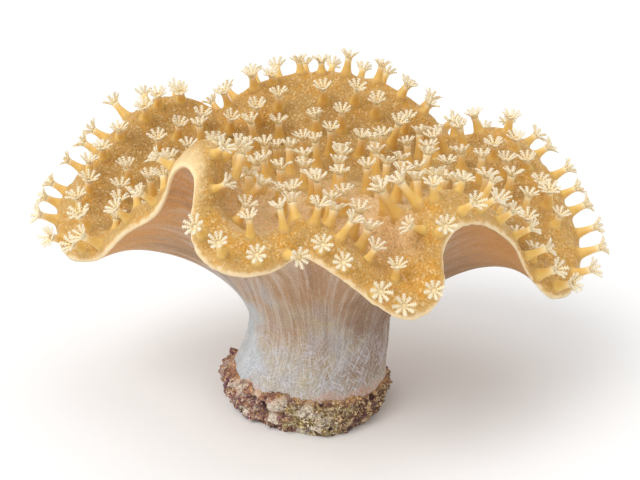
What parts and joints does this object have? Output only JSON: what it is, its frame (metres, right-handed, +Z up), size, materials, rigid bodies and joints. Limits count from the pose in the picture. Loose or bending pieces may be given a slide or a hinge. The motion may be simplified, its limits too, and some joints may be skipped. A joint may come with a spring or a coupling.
{
  "type": "toadstool leather coral",
  "caption": "Mushroom-shaped soft coral: a ruffled, lobed cap set with open flower-like polyps on a short smooth stalk, rooted in a crusted remnant of rock.",
  "frame": {"origin": "middle of the rock's flat, cut underside, on which the coral stands", "axes": "+Z up through the cap, +X along the cap's widest spread, -Y towards the front with the two drooping front lobes"},
  "size_m": [0.1639, 0.13, 0.0938],
  "materials": {
    "coral_flesh": "soft, granular, matte to satin",
    "crusted_rock": "rough, pitted, crusted"
  },
  "bodies": {
    "root": {"colony": "coral_flesh", "rock_base": "crusted_rock"}
  },
  "joints": []
}
